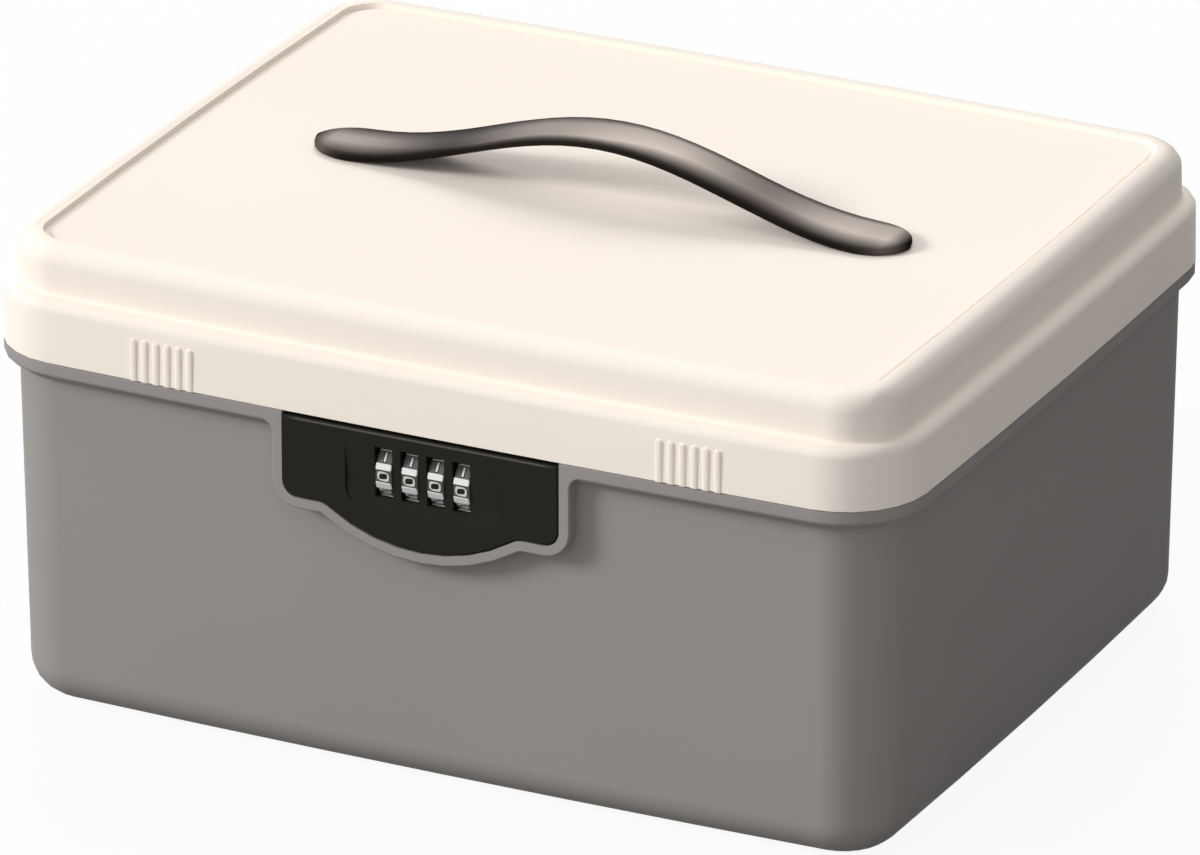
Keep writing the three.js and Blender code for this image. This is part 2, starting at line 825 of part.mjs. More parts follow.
function catchPad() {
  const half = catchTopHalfWidth + catchPadMargin;
  const back = catchFront - seatGap / 2;
  const front = back - catchPadThickness;
  const low = catchTop - catchTopHeight - catchPadMargin;
  const rib = (x) => block(
    [x, skirtFront + tierInnerInset - weldDepth, catchTop - catchRibDrop],
    [x + catchRibWidth, front + weldDepth, ceilingLevel + weldDepth],
  );
  return joined([
    block([-half, front, low], [half, back, ceilingLevel + weldDepth]),
    rib(-half),
    rib(half - catchRibWidth),
  ]);
}

const catchScrewCentres = [-catchScrewOffset, catchScrewOffset];
const catchScrewHeight = catchTop - catchScrewDrop;
const bossCentres = [-1, 1].map((side) => handleShiftX + side * (handleHalf - handleBossInset));

function lidShell() {
  const holes = bossCentres.map((x) => rodAlongZ(
    x, handleShiftY, handleBossRadius + handleBossClearance,
    ceilingLevel - cutOverrun, panelLevel + cutOverrun,
  ));
  const threads = catchScrewCentres.map((x) => rodAlongY(
    x, catchScrewHeight, catchScrewRadius + boreClearance,
    catchFront + cutOverrun, catchFront - catchScrewDepth - screwTipClearance, smallRoundSteps,
  ));
  const shell = joined([moulding(lidProfile()), ...ribs(), ...lidKnuckles(), catchPad()]);
  return cut(shell, [...holes, ...threads, ...hingeBores()]);
}

// Handle

function archRise(x) {
  const share = Math.min(Math.abs(x) / (archLength / 2), 1);
  return (handleRise * (1 + Math.cos(Math.PI * share))) / 2;
}

function archSlope(x) {
  const half = archLength / 2;
  const share = Math.min(Math.abs(x) / half, 1);
  return (handleRise * Math.PI * Math.sin(Math.PI * share)) / (2 * half);
}

function handleHalfWidth(x) {
  const along = Math.abs(x);
  const from = handleHalf * paddleFromShare;
  const to = handleHalf * paddleToShare;
  const grown = THREE.MathUtils.smoothstep(along, from, to);
  const half = THREE.MathUtils.lerp(handleWidth / 2, paddleWidth / 2, grown);
  const end = Math.max(0, (along - (handleHalf - paddleEndLength)) / paddleEndLength);
  return half * Math.sqrt(1 - end ** 2);
}

function handleRing(x) {
  const half = handleHalfWidth(x);
  const thickness = handleThickness * Math.sqrt(1 + archSlope(x) ** 2);
  const edge = Math.min(handleEdge, half / 2);
  const crown = handleCrown * Math.min(1, half / (handleWidth / 2));
  const low = paddleBottom + archRise(x);
  const top = low + thickness;
  const shoulder = (crown * 3) / 4;
  return [
    [-half + edge, low],
    [half - edge, low],
    [half, low + edge],
    [half, top - edge],
    [half - edge, top],
    [half / 2, top + shoulder],
    [0, top + crown],
    [-half / 2, top + shoulder],
    [-half + edge, top],
    [-half, top - edge],
    [-half, low + edge],
  ].map(([y, z]) => new THREE.Vector3(x + handleShiftX, y + handleShiftY, z));
}

function handleStrap() {
  const straight = handleHalf - paddleEndLength;
  const middle = Array.from(
    { length: handleSteps + 1 },
    (_, step) => THREE.MathUtils.lerp(-straight, straight, step / handleSteps),
  );
  const ends = Array.from({ length: handleEndSteps }, (_, step) => {
    const angle = (Math.PI / 2) * ((step + 1) / (handleEndSteps + 1 / 2));
    return straight + paddleEndLength * Math.sin(angle);
  });
  const stations = [...ends.map((x) => -x).reverse(), ...middle, ...ends];
  const strap = lofted(stations.map((x) => handleRing(x)));
  const bossBottom = ceilingLevel + seatGap / 2;
  const bosses = bossCentres.map((x) => rodAlongZ(
    x, handleShiftY, handleBossRadius, bossBottom, paddleBottom + weldDepth,
  ));
  const bores = bossCentres.map((x) => rodAlongZ(
    x, handleShiftY, handleScrewRadius + boreClearance, bossBottom - cutOverrun,
    paddleBottom + handleThickness - handleScrewRoof + screwTipClearance, smallRoundSteps,
  ));
  return cut(joined([strap, ...bosses]), bores);
}

function handleWasher(x) {
  const top = ceilingLevel - seatGap;
  const low = top - washerThickness;
  const hole = rodAlongZ(
    x, handleShiftY, handleScrewRadius + boreClearance,
    low - cutOverrun, top + cutOverrun, smallRoundSteps,
  );
  return rodAlongZ(x, handleShiftY, washerRadius, low, top).subtract(hole);
}

// A pan head screw pointing along +z from its head's seat, made round the z axis
function screw(shankRadius, length, headRadius, headHeight) {
  const profile = [
    [0, -headHeight],
    [headRadius * panHeadTopShare, -headHeight],
    [headRadius, -headHeight * panHeadEdgeShare],
    [headRadius, 0],
    [shankRadius, 0],
    [shankRadius, length - shankRadius / 2],
    [shankRadius / 2, length],
    [0, length],
  ].map(([r, z]) => new THREE.Vector2(r, z));
  const geometry = new THREE.LatheGeometry(profile, smallRoundSteps);
  geometry.rotateX(Math.PI / 2);
  const slot = screwSlotShare * headRadius;
  const recess = block(
    [-headRadius * screwRecessShare, -slot, -headHeight - cutOverrun],
    [headRadius * screwRecessShare, slot, -headHeight * (1 - screwRecessDepthShare)],
  );
  const cross = block(
    [-slot, -headRadius * screwRecessShare, -headHeight - cutOverrun],
    [slot, headRadius * screwRecessShare, -headHeight * (1 - screwRecessDepthShare)],
  );
  return cut(solidOf(geometry), [recess, cross]);
}

function handleScrew(x) {
  const seat = ceilingLevel - seatGap - washerThickness - seatGap;
  const tip = paddleBottom + handleThickness - handleScrewRoof;
  return screw(handleScrewRadius, tip - seat, handleScrewHeadRadius, handleScrewHeadHeight)
    .translate(x, handleShiftY, seat);
}

// Lock face plate

function facePlate() {
  const lowZ = dishBottomHeight;
  const highZ = plateTop - dishTopGap;
  const dishSide = new THREE.Shape();
  dishSide.moveTo(plateFace - cutOverrun, lowZ);
  dishSide.lineTo(plateFace, lowZ);
  dishSide.lineTo(plateFace + dishDepth, lowZ + dishSlopeHeight);
  dishSide.lineTo(plateFace, highZ);
  dishSide.lineTo(plateFace - cutOverrun, highZ);
  const half = dishWidth / 2;
  const dishFront = new THREE.Shape();
  dishFront.moveTo(-half, highZ + cutOverrun);
  dishFront.lineTo(-half, lowZ + dishCornerRadius);
  dishFront.absarc(-half + dishCornerRadius, lowZ + dishCornerRadius, dishCornerRadius,
    Math.PI, Math.PI * 1.5, false);
  dishFront.absarc(half - dishCornerRadius, lowZ + dishCornerRadius, dishCornerRadius,
    Math.PI * 1.5, fullTurn, false);
  dishFront.lineTo(half, highZ + cutOverrun);
  const dish = extrudedAlongX(dishSide, -half - cutOverrun, half + cutOverrun)
    .intersect(extrudedToFront(dishFront, plateBack, plateFace - cutOverrun * 2));
  const windowHalf = wheelWidth / 2 + windowGap;
  const windowMiddle = wheelHeight + windowRise;
  const windows = wheelCentres.map((x) => block(
    [x - windowHalf, plateFace - cutOverrun, windowMiddle - windowHeight / 2],
    [x + windowHalf, plateBack + cutOverrun, windowMiddle + windowHeight / 2],
  ));
  const wellHalf = stackRight + slideGap * 2;
  const wellHeight = wheelRadius + windowGap;
  const well = block(
    [-wellHalf, plateFace + dishDepth + wellWall, wheelHeight - wellHeight],
    [wellHalf, plateBack + cutOverrun, wheelHeight + wellHeight],
  );
  const postBack = padPlane - seatGap / 2;
  const posts = lockPosts.map(([x, z]) => rodAlongY(
    x, z, postRadius, postBack, plateBack - weldDepth, smallRoundSteps * 2,
  ));
  const tongues = [-1, 1].map((side) => {
    const middle = side * (caseHalfWidth + cheekInner) / 2;
    const reach = cheekThickness / 2 - slideGap;
    return block(
      [middle - reach, plateBack - weldDepth, wheelHeight - tongueHeight / 2],
      [middle + reach, wheelY - shaftRadius - slideGap, wheelHeight + tongueHeight / 2],
    );
  });
  const bores = lockPosts.map(([x, z]) => rodAlongY(
    x, z, lockScrewRadius + boreClearance, padPlane + cutOverrun,
    casePlane + earThickness - lockScrewLength - screwTipClearance, smallRoundSteps,
  ));
  const plate = extrudedToFront(lockOutline(0, plateTop), plateBack, plateFace, plateEdge)
    .translate(plateShift, 0, 0);
  return cut(joined([plate, ...posts, ...tongues]), [dish, ...windows, well, ...bores]);
}

// Number wheels and code sleeves

const facetAngle = fullTurn / facetCount;

function wheelOutline() {
  const apothem = wheelRadius - facetDepth;
  const flatHalf = apothem * Math.tan(facetAngle / 2) - ridgeFootWidth / 2;
  const ridgeReach = Math.sqrt(wheelRadius ** 2 - (ridgeWidth / 2) ** 2);
  const turned = (radial, side, angle) => [
    wheelY + radial * Math.cos(angle) - side * Math.sin(angle),
    wheelHeight + radial * Math.sin(angle) + side * Math.cos(angle),
  ];
  return polygon(Array.from({ length: facetCount }, (_, facet) => {
    const flat = facet * facetAngle;
    const ridge = flat + facetAngle / 2;
    return [
      turned(apothem, -flatHalf, flat),
      turned(apothem, flatHalf, flat),
      turned(ridgeReach, -ridgeWidth / 2, ridge),
      turned(ridgeReach, ridgeWidth / 2, ridge),
    ];
  }).flat());
}

// A bar across the wheel's axis, turned about it, for keyways, lugs and gates
function barAcross(fromX, toX, width, inner, outer, angle) {
  const bar = polygon([
    [inner, -width / 2],
    [outer, -width / 2],
    [outer, width / 2],
    [inner, width / 2],
  ]);
  return extrudedAlongX(bar, fromX, toX)
    .rotate([THREE.MathUtils.radToDeg(angle), 0, 0])
    .translate(0, wheelY, wheelHeight);
}

function dialWheel(x) {
  const left = x - wheelWidth / 2;
  const right = x + wheelWidth / 2;
  const wheel = extrudedAlongX(wheelOutline(), left, right, wheelEdge);
  const keyReach = sleeveRadius + keyHeight + boreClearance;
  const bore = rodAlongX(
    wheelY, wheelHeight, sleeveRadius + boreClearance, left - cutOverrun, right + cutOverrun,
  );
  const keyFree = rodAlongX(
    wheelY, wheelHeight, keyReach + boreClearance, left - cutOverrun, x - boreClearance,
  );
  const keyways = Array.from({ length: facetCount / 2 }, (_, index) => barAcross(
    x - keyLength, right + cutOverrun, keyWidth + boreClearance * 2, -keyReach, keyReach,
    index * facetAngle + Math.PI / 2,
  ));
  return cut(wheel, [bore, keyFree, ...keyways]);
}

function codeSleeve(x) {
  const left = x - wheelWidth / 2 - sleeveEndGap;
  const right = x + discOffset;
  const discLeft = right - rimDiscThickness;
  const tube = rodAlongX(wheelY, wheelHeight, sleeveRadius, left, right);
  const rim = rodAlongX(wheelY, wheelHeight, rimDiscRadius, discLeft, right);
  const lug = barAcross(x, x + keyLength, keyWidth, shaftRadius * 2, sleeveRadius + keyHeight, Math.PI / 2);
  const gate = barAcross(
    discLeft - cutOverrun, right + cutOverrun, gateWidth,
    rimDiscRadius - gateDepth, rimDiscRadius + cutOverrun, THREE.MathUtils.degToRad(gateAngle),
  );
  const bore = rodAlongX(
    wheelY, wheelHeight, shaftRadius + shaftClearance, left - cutOverrun, right + cutOverrun,
  );
  return cut(joined([tube, rim, lug]), [gate, bore]);
}

function dialAxle() {
  const collarLeft = stackRight + sleeveEndGap;
  return joined([
    rodAlongX(wheelY, wheelHeight, shaftRadius, shaftLeft, shaftRight),
    rodAlongX(wheelY, wheelHeight, shaftCollarRadius, collarLeft, collarLeft + shaftCollarWidth),
  ]);
}

function resetLever() {
  const left = leverRight - leverWidth;
  const armBack = caseBack + leverTabGap + weldDepth;
  const hub = rodAlongX(wheelY, wheelHeight, leverHubRadius, left, leverRight);
  const arm = block(
    [left, wheelY + leverHubRadius / 2, wheelHeight - leverArmHeight / 2],
    [leverRight, armBack, wheelHeight + leverArmHeight / 2],
  );
  const middle = (left + leverRight) / 2;
  const tab = block(
    [middle - leverTabWidth / 2, caseBack + leverTabGap, wheelHeight - leverTabHeight / 2],
    [middle + leverTabWidth / 2, caseBack + leverTabGap + leverTabDepth, wheelHeight + leverTabHeight / 2],
  );
  const bore = rodAlongX(
    wheelY, wheelHeight, shaftRadius + seatGap / 2, left - cutOverrun, leverRight + cutOverrun,
  );
  return joined([hub, arm, tab]).subtract(bore);
}

// Lock case

function lockCase() {
  const half = caseHalfWidth;
  const front = pocketBack;
  const cheeks = [[-half, -cheekInner], [cheekInner, half]].flatMap(([fromX, toX]) => [
    block([fromX, front, caseBottomHeight], [toX, caseBack, caseStepHeight]),
    block([fromX, casePlane, caseBottomHeight], [toX, caseBack, caseTopHeight]),
  ]);
  const floor = block([-half, front, caseBottomHeight], [half, caseBack, caseFloor]);
  const rear = block([-half, caseInner, caseBottomHeight], [half, caseBack, caseTopHeight]);
  const roof = block([-half, casePlane, caseCeiling], [half, caseBack, caseTopHeight]);
  const brow = block(
    [-half, casePlane, caseStepHeight + frontWallRise],
    [half, casePlane + caseWall, caseTopHeight],
  );
  const ledgeInner = cheekInner - ledgeReach;
  const ledges = [[-half, -ledgeInner], [ledgeInner, half]].map(([fromX, toX]) => block(
    [fromX, casePlane, boltSeatHeight - ledgeThickness], [toX, caseBack, boltSeatHeight],
  ));
  const ears = lockPosts.map(([x, z]) => {
    const side = Math.sign(x);
    const edges = [side * (half - weldDepth), side * (half + earLength)].sort((a, b) => a - b);
    return block(
      [edges[0], casePlane, z - earHeight / 2],
      [edges[1], casePlane + earThickness, z + earHeight / 2],
    );
  });
  const pegs = [-1, 1].map((side) => rodAlongZ(
    side * wheelPitch, detentPegY, detentPegRadius, caseFloor - weldDepth, caseFloor + detentPegHeight,
    smallRoundSteps,
  ));
  const shaftHole = shaftRadius + shaftClearance;
  const shaftSlots = [[-half - cutOverrun, -cheekInner + cutOverrun],
    [cheekInner - cutOverrun, half + cutOverrun]].flatMap(([fromX, toX]) => [
    rodAlongX(wheelY, wheelHeight, shaftHole, fromX, toX),
    block([fromX, front - cutOverrun, wheelHeight - shaftHole], [toX, wheelY, wheelHeight + shaftHole]),
  ]);
  const leverLeft = leverRight - leverWidth - shaftTravel - leverSideGap;
  const leverHigh = leverArmHeight / 2 + leverSideGap;
  const leverSlot = block(
    [leverLeft, caseInner - cutOverrun, wheelHeight - leverHigh],
    [leverRight + leverSideGap, caseBack + cutOverrun, wheelHeight + leverHigh],
  );
  const catchSlot = block(
    [-catchNeckHalfWidth - catchSlotGap, catchFront - catchSlotGap, caseCeiling - cutOverrun],
    [catchNeckHalfWidth + catchSlotGap, catchBack + catchSlotGap, caseTopHeight + cutOverrun],
  );
  const earHoles = lockPosts.map(([x, z]) => rodAlongY(
    x, z, lockScrewRadius + boreClearance, casePlane + earThickness + cutOverrun,
    casePlane - cutOverrun, smallRoundSteps,
  ));
  const shell = joined([...cheeks, floor, rear, roof, brow, ...ledges, ...ears, ...pegs]);
  return cut(shell, [...shaftSlots, leverSlot, catchSlot, ...earHoles]);
}

function lockScrew([x, z]) {
  return screw(lockScrewRadius, lockScrewLength, lockScrewHeadRadius, lockScrewHeadHeight)
    .rotate([90, 0, 0])
    .translate(x, casePlane + earThickness + seatGap / 2, z);
}

function detentComb() {
  const half = wheelSpan / 2 + detentFingerWidth / 2 + detentMargin;
  const low = caseFloor + seatGap / 2;
  const base = block([-half, combFront, low], [half, combFront + detentBaseDepth, low + detentThickness]);
  const fingers = wheelCentres.map((x) => block(
    [x - detentFingerWidth / 2, combFront, low],
    [x + detentFingerWidth / 2, combFront + detentThickness, wheelHeight],
  ));
  const holes = [-1, 1].map((side) => rodAlongZ(
    side * wheelPitch, detentPegY, detentPegRadius + boreClearance,
    low - cutOverrun, low + detentThickness + cutOverrun, smallRoundSteps,
  ));
  return cut(joined([base, ...fingers]), holes);
}

// Latch bolt, catch and springs

function latchBolt() {
  const rimsBack = wheelY + rimDiscRadius;
  const finTip = rimsBack + fenceRimGap + boltTravel;
  const legLow = wheelHeight + fenceClearHeight;
  const finRight = (x) => x + wheelPitch - wheelWidth / 2 - fenceSideGap;
  const body = block([-boltHalfWidth, boltFront, boltBottom], [boltHalfWidth, boltBack, boltTop]);
  const leg = block(
    [finRight(wheelCentres[0]) - finWidth, legFront, legLow],
    [finRight(wheelCentres[wheelCount - 1]), legBack, boltBottom + weldDepth],
  );
  const fins = wheelCentres.map((x) => block(
    [finRight(x) - finWidth, finTip, legLow - fenceDrop],
    [finRight(x), legBack, legLow + finWidth],
  ));
  const nose = extrudedAlongX(polygon([
    [boltBack - weldDepth, noseBottom],
    [catchFront, noseBottom],
    [noseTip, noseBottom + boltNoseRamp],
    [noseTip, noseTop - boltNoseRamp],
    [catchFront, noseTop],
    [boltBack - weldDepth, noseTop],
  ]), -boltNoseHalfWidth, boltNoseHalfWidth);
  const notch = block(
    [-boltNotchHalfWidth, boltFront - cutOverrun, boltBottom - cutOverrun],
    [boltNotchHalfWidth, boltFront + boltNotchDepth, boltTop + cutOverrun],
  );
  return joined([body.subtract(notch), leg, ...fins, nose]);
}

function lidCatch() {
  const low = catchTop - catchTopHeight;
  const plate = extrudedToFront(polygon([
    [-catchTopHalfWidth, catchTop],
    [-catchTopHalfWidth, low],
    [-catchNeckHalfWidth, low - (catchTopHalfWidth - catchNeckHalfWidth)],
    [-catchNeckHalfWidth, catchBottomHeight + catchLeadIn],
    [-catchNeckHalfWidth + catchLeadIn, catchBottomHeight],
    [catchNeckHalfWidth - catchLeadIn, catchBottomHeight],
    [catchNeckHalfWidth, catchBottomHeight + catchLeadIn],
    [catchNeckHalfWidth, low - (catchTopHalfWidth - catchNeckHalfWidth)],
    [catchTopHalfWidth, low],
    [catchTopHalfWidth, catchTop],
  ]), catchBack, catchFront);
  const window = block(
    [-catchWindowHalfWidth, catchFront - cutOverrun, catchWindowBottom],
    [catchWindowHalfWidth, catchBack + cutOverrun, catchWindowTop],
  );
  const holes = catchScrewCentres.map((x) => rodAlongY(
    x, catchScrewHeight, catchScrewRadius + boreClearance,
    catchBack + cutOverrun, catchFront - cutOverrun, smallRoundSteps,
  ));
  return cut(plate, [window, ...holes]);
}

function catchScrew(x) {
  const seat = catchBack + seatGap / 2;
  return screw(
    catchScrewRadius, seat - catchFront + catchScrewDepth, catchScrewHeadRadius, catchScrewHeadHeight,
  ).rotate([90, 0, 0]).translate(x, seat, catchScrewHeight);
}

// A coil of wire along +z whose two ends run straight into their seats
function coilSpring(radius, length, curls) {
  const wire = springWireRadius * 2;
  const steps = curls * springStepsPerCurl;
  const coil = Array.from({ length: steps + 1 }, (_, step) => {
    const angle = (fullTurn * step) / springStepsPerCurl;
    const height = THREE.MathUtils.lerp(wire, length - wire, step / steps);
    return new THREE.Vector3(radius * Math.cos(angle), radius * Math.sin(angle), height);
  });
  const start = new THREE.Vector3(radius, 0, 0);
  const end = new THREE.Vector3(radius, 0, length);
  const path = new THREE.CatmullRomCurve3([start, ...coil, end]);
  const geometry = new THREE.ExtrudeGeometry(disc(0, 0, springWireRadius, springSides), {
    steps: steps + springStepsPerCurl / 2,
    bevelEnabled: false,
    extrudePath: path,
  });
  return solidOf(geometry);
}

function boltSpring() {
  const seat = casePlane + caseWall + springEndGap;
  const reach = boltFront + boltNotchDepth - springEndGap - seat;
  return coilSpring(boltSpringRadius, reach, boltSpringCurls)
    .rotate([-90, 0, 0])
    .translate(0, seat, boltMiddle);
}

function shaftSpring() {
  const seat = -cheekInner + springEndGap;
  const reach = leverRight - leverWidth - springEndGap - seat;
  return coilSpring(shaftSpringRadius, reach, shaftSpringCurls)
    .rotate([0, 90, 0])
    .translate(seat, wheelY, wheelHeight);
}

function hingePin(centre) {
  const reach = lidKnuckleLength / 2 + slideGap + bodyKnuckleLength + hingePinStub;
  return rodAlongX(hingeY, hingeZ, hingePinRadius, centre - reach, centre + reach);
}

// Assembly, centred over its base

function assembly() {
  const sides = ['left', 'right'];
  const group = new THREE.Group();
  group.name = 'medication_lock_box';
  const numbered = (base, places, make, material) => places.map((place, index) => (
    piece(`${base}_${index + 1}`, make(place), material())
  ));
  const paired = (base, places, make, material) => places.map((place, index) => (
    piece(`${base}_${sides[index]}`, make(place), material())
  ));
  group.add(
    piece('body_tub', bodyTub(), greyPlastic()),
    piece('lock_face_plate', facePlate(), blackPlastic()),
    piece('lock_case', lockCase(), casePlastic()),
    ...numbered('lock_screw', lockPosts, lockScrew, steelMetal),
    ...numbered('dial_wheel', wheelCentres, dialWheel, chromeMetal),
    ...numbered('code_sleeve', wheelCentres, codeSleeve, brassMetal),
    piece('dial_axle', dialAxle(), steelMetal()),
    piece('reset_lever', resetLever(), steelMetal()),
    piece('shaft_spring', shaftSpring(), steelMetal()),
    piece('detent_comb', detentComb(), steelMetal()),
    piece('latch_bolt', latchBolt(), steelMetal()),
    piece('bolt_spring', boltSpring(), steelMetal()),
    piece('lid_shell', lidShell(), creamPlastic()),
    piece('handle_strap', handleStrap(), handlePlastic()),
    ...paired('handle_washer', bossCentres, handleWasher, steelMetal),
    ...paired('handle_screw', bossCentres, handleScrew, steelMetal),
    piece('lid_catch', lidCatch(), steelMetal()),
    ...paired('catch_screw', catchScrewCentres, catchScrew, steelMetal),
    ...paired('hinge_pin', hingeCentres, hingePin, steelMetal),
  );
  const box = new THREE.Box3().setFromObject(group);
  const middle = (box.min.y + box.max.y) / 2;
  group.children.forEach((mesh) => mesh.geometry.translate(0, -middle, 0));
  return group;
}

export default assembly();
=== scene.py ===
import json
import math

import bpy
from mathutils import Matrix, Vector


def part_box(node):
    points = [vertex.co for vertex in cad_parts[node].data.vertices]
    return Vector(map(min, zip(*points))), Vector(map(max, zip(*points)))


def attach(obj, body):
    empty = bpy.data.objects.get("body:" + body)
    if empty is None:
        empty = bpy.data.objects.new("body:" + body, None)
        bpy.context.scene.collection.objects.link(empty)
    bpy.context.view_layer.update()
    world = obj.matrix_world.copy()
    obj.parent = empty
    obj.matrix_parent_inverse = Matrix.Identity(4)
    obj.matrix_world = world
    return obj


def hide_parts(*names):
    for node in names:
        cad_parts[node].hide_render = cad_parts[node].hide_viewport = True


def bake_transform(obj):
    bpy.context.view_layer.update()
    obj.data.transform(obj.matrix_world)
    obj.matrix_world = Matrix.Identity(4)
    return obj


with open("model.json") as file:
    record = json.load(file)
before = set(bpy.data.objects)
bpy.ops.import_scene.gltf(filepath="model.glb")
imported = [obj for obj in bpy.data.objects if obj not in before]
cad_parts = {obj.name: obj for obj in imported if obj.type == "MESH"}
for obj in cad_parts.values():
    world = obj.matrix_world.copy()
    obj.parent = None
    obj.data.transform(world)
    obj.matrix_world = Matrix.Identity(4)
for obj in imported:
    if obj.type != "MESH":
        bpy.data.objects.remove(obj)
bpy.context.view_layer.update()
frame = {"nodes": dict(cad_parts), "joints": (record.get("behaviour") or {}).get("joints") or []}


# The camera stands in front of the box, to its right and above it, and looks at
# it through a long lens, so the box's long edges stay nearly parallel.
yaw = math.radians(25.976)
tilt = math.radians(23.012)
look_aside = (-0.0003232, -0.0001974)
camera_distance = 4.0265
camera_lens = 386.93
camera_sensor = 36
towards_camera = Vector((math.sin(yaw) * math.cos(tilt), -math.cos(yaw) * math.cos(tilt), math.sin(tilt)))
picture_right = Vector((math.cos(yaw), math.sin(yaw), 0))
picture_up = towards_camera.cross(picture_right)
look = -towards_camera + picture_right * look_aside[0] + picture_up * look_aside[1]
aim = Vector((0, -0.0037675, 0.075))
lens_axis = -look.normalized()
side_axis = picture_up.cross(lens_axis).normalized()
rise_axis = lens_axis.cross(side_axis)

camera_data = bpy.data.cameras.new("camera")
camera_data.sensor_width = camera_sensor
camera_data.lens = camera_lens
camera = bpy.data.objects.new("camera", camera_data)
bpy.context.scene.collection.objects.link(camera)
camera.matrix_world = Matrix.Translation(aim + towards_camera * camera_distance) @ Matrix(
    (side_axis, rise_axis, lens_axis)
).transposed().to_4x4()
bpy.context.scene.camera = camera


# The table is a wide pale surface. To the camera and in reflections it is almost
# plain white and keeps a faint shadow under the box; it throws back little light.
table_width = 6
table_gap = 0.0002
table_dim = (0.32, 0.32, 0.32)
table_pale = (0.94, 0.94, 0.94)
table_glow = 0.92


class Signal:
    """A value on its way between two shader nodes; sums with it add Math nodes."""

    def __init__(self, nodes, socket):
        self.nodes = nodes
        self.socket = socket

    def __add__(self, other):
        return self.nodes.math("ADD", self, other)

    __radd__ = __add__

    def __sub__(self, other):
        return self.nodes.math("SUBTRACT", self, other)

    def __rsub__(self, other):
        return self.nodes.math("SUBTRACT", other, self)

    def __mul__(self, other):
        return self.nodes.math("MULTIPLY", self, other)

    __rmul__ = __mul__

    def __truediv__(self, other):
        return self.nodes.math("DIVIDE", self, other)

    def __rtruediv__(self, other):
        return self.nodes.math("DIVIDE", other, self)

    def __abs__(self):
        return self.nodes.math("ABSOLUTE", self, 0)


class Nodes:
    """The shader nodes of one material, or of the room round the box."""

    def __init__(self, tree):
        self.tree = tree

    def feed(self, socket, value):
        if isinstance(value, Signal):
            self.tree.links.new(value.socket, socket)
        else:
            socket.default_value = value

    def node(self, kind, settings=None, inputs=None, output=0):
        node = self.tree.nodes.new(kind)
        for key, value in (settings or {}).items():
            setattr(node, key, value)
        for key, value in (inputs or {}).items():
            self.feed(node.inputs[key], value)
        return Signal(self, node.outputs[output])

    def math(self, operation, first, second):
        return self.node("ShaderNodeMath", {"operation": operation}, {0: first, 1: second})

    def looked_at(self):
        """1 where the camera looks, also by way of a mirror or glass, and 0 for other light."""
        straight, mirrored, through = (
            self.node("ShaderNodeLightPath", output=f"Is {ray} Ray")
            for ray in ("Camera", "Glossy", "Transmission")
        )
        return self.math("MAXIMUM", self.math("MAXIMUM", straight, mirrored), through)


class Finish(Nodes):
    """The finish of one kind of surface, as a material with its own nodes."""

    def __init__(self, name, colour, roughness, metallic=0.0, **sockets):
        self.material = bpy.data.materials.new(name)
        self.material.use_nodes = True
        super().__init__(self.material.node_tree)
        self.shader = self.tree.nodes["Principled BSDF"]
        self.set("Base Color", (*colour, 1))
        self.set("Roughness", roughness)
        self.set("Metallic", metallic)
        for socket, value in sockets.items():
            self.set(socket.replace("_", " "), value)
        self.place = self.node("ShaderNodeTexCoord", output="Object")

    def set(self, socket, value):
        self.feed(self.shader.inputs[socket], value)

    def mixed(self, amount, first, second):
        first, second = (
            colour if isinstance(colour, Signal) else (*colour, 1) for colour in (first, second)
        )
        return self.node(
            "ShaderNodeMix", {"data_type": "RGBA"}, {0: amount, 6: first, 7: second}, output=2,
        )

    def between(self, value, low, high, kind="LINEAR"):
        return self.node(
            "ShaderNodeMapRange", {"clamp": True, "interpolation_type": kind},
            {"Value": value, "From Min": low, "From Max": high},
        )

    def eased(self, value, low, high):
        return self.between(value, low, high, "SMOOTHSTEP")

    def grain(self, size, detail=3.0, rough=0.5):
        return self.node(
            "ShaderNodeTexNoise", {},
            {"Vector": self.place, "Scale": 1 / size, "Detail": detail, "Roughness": rough},
        )

    def mottled(self, size, first, second):
        self.set("Base Color", self.mixed(self.grain(size), first, second))

    def satin(self, least, spread, size):
        self.set("Roughness", least + self.grain(size) * spread)

    def pebbled(self, size, strength, depth):
        self.set("Normal", self.node(
            "ShaderNodeBump", {}, {"Height": self.grain(size, 2), "Strength": strength, "Distance": depth},
        ))

    def axis(self, index):
        return self.node("ShaderNodeSeparateXYZ", {}, {0: self.place}, output=index)

    def on(self, *objects):
        for thing in objects:
            thing.data.materials.clear()
            thing.data.materials.append(self.material)


bpy.ops.object.select_all(action="DESELECT")
bpy.ops.mesh.primitive_plane_add(size=table_width, location=(0, 0, -table_gap))
table = bpy.context.object
table.name = "table"
table_finish = Finish("table_white", table_dim, 0.8, Specular_IOR_Level=0.0)
table_shown = table_finish.looked_at()
table_finish.set("Base Color", table_finish.mixed(table_shown, table_dim, table_pale))
table_white = table_finish.node(
    "ShaderNodeEmission", {}, {"Color": (1, 1, 1, 1), "Strength": 1.0}, output="Emission",
)
table_mix = table_finish.node(
    "ShaderNodeMixShader", {},
    {0: table_shown * table_glow, 1: Signal(table_finish, table_finish.shader.outputs[0]), 2: table_white},
)
table_finish.feed(table_finish.tree.nodes["Material Output"].inputs["Surface"], table_mix)
table_finish.on(table)


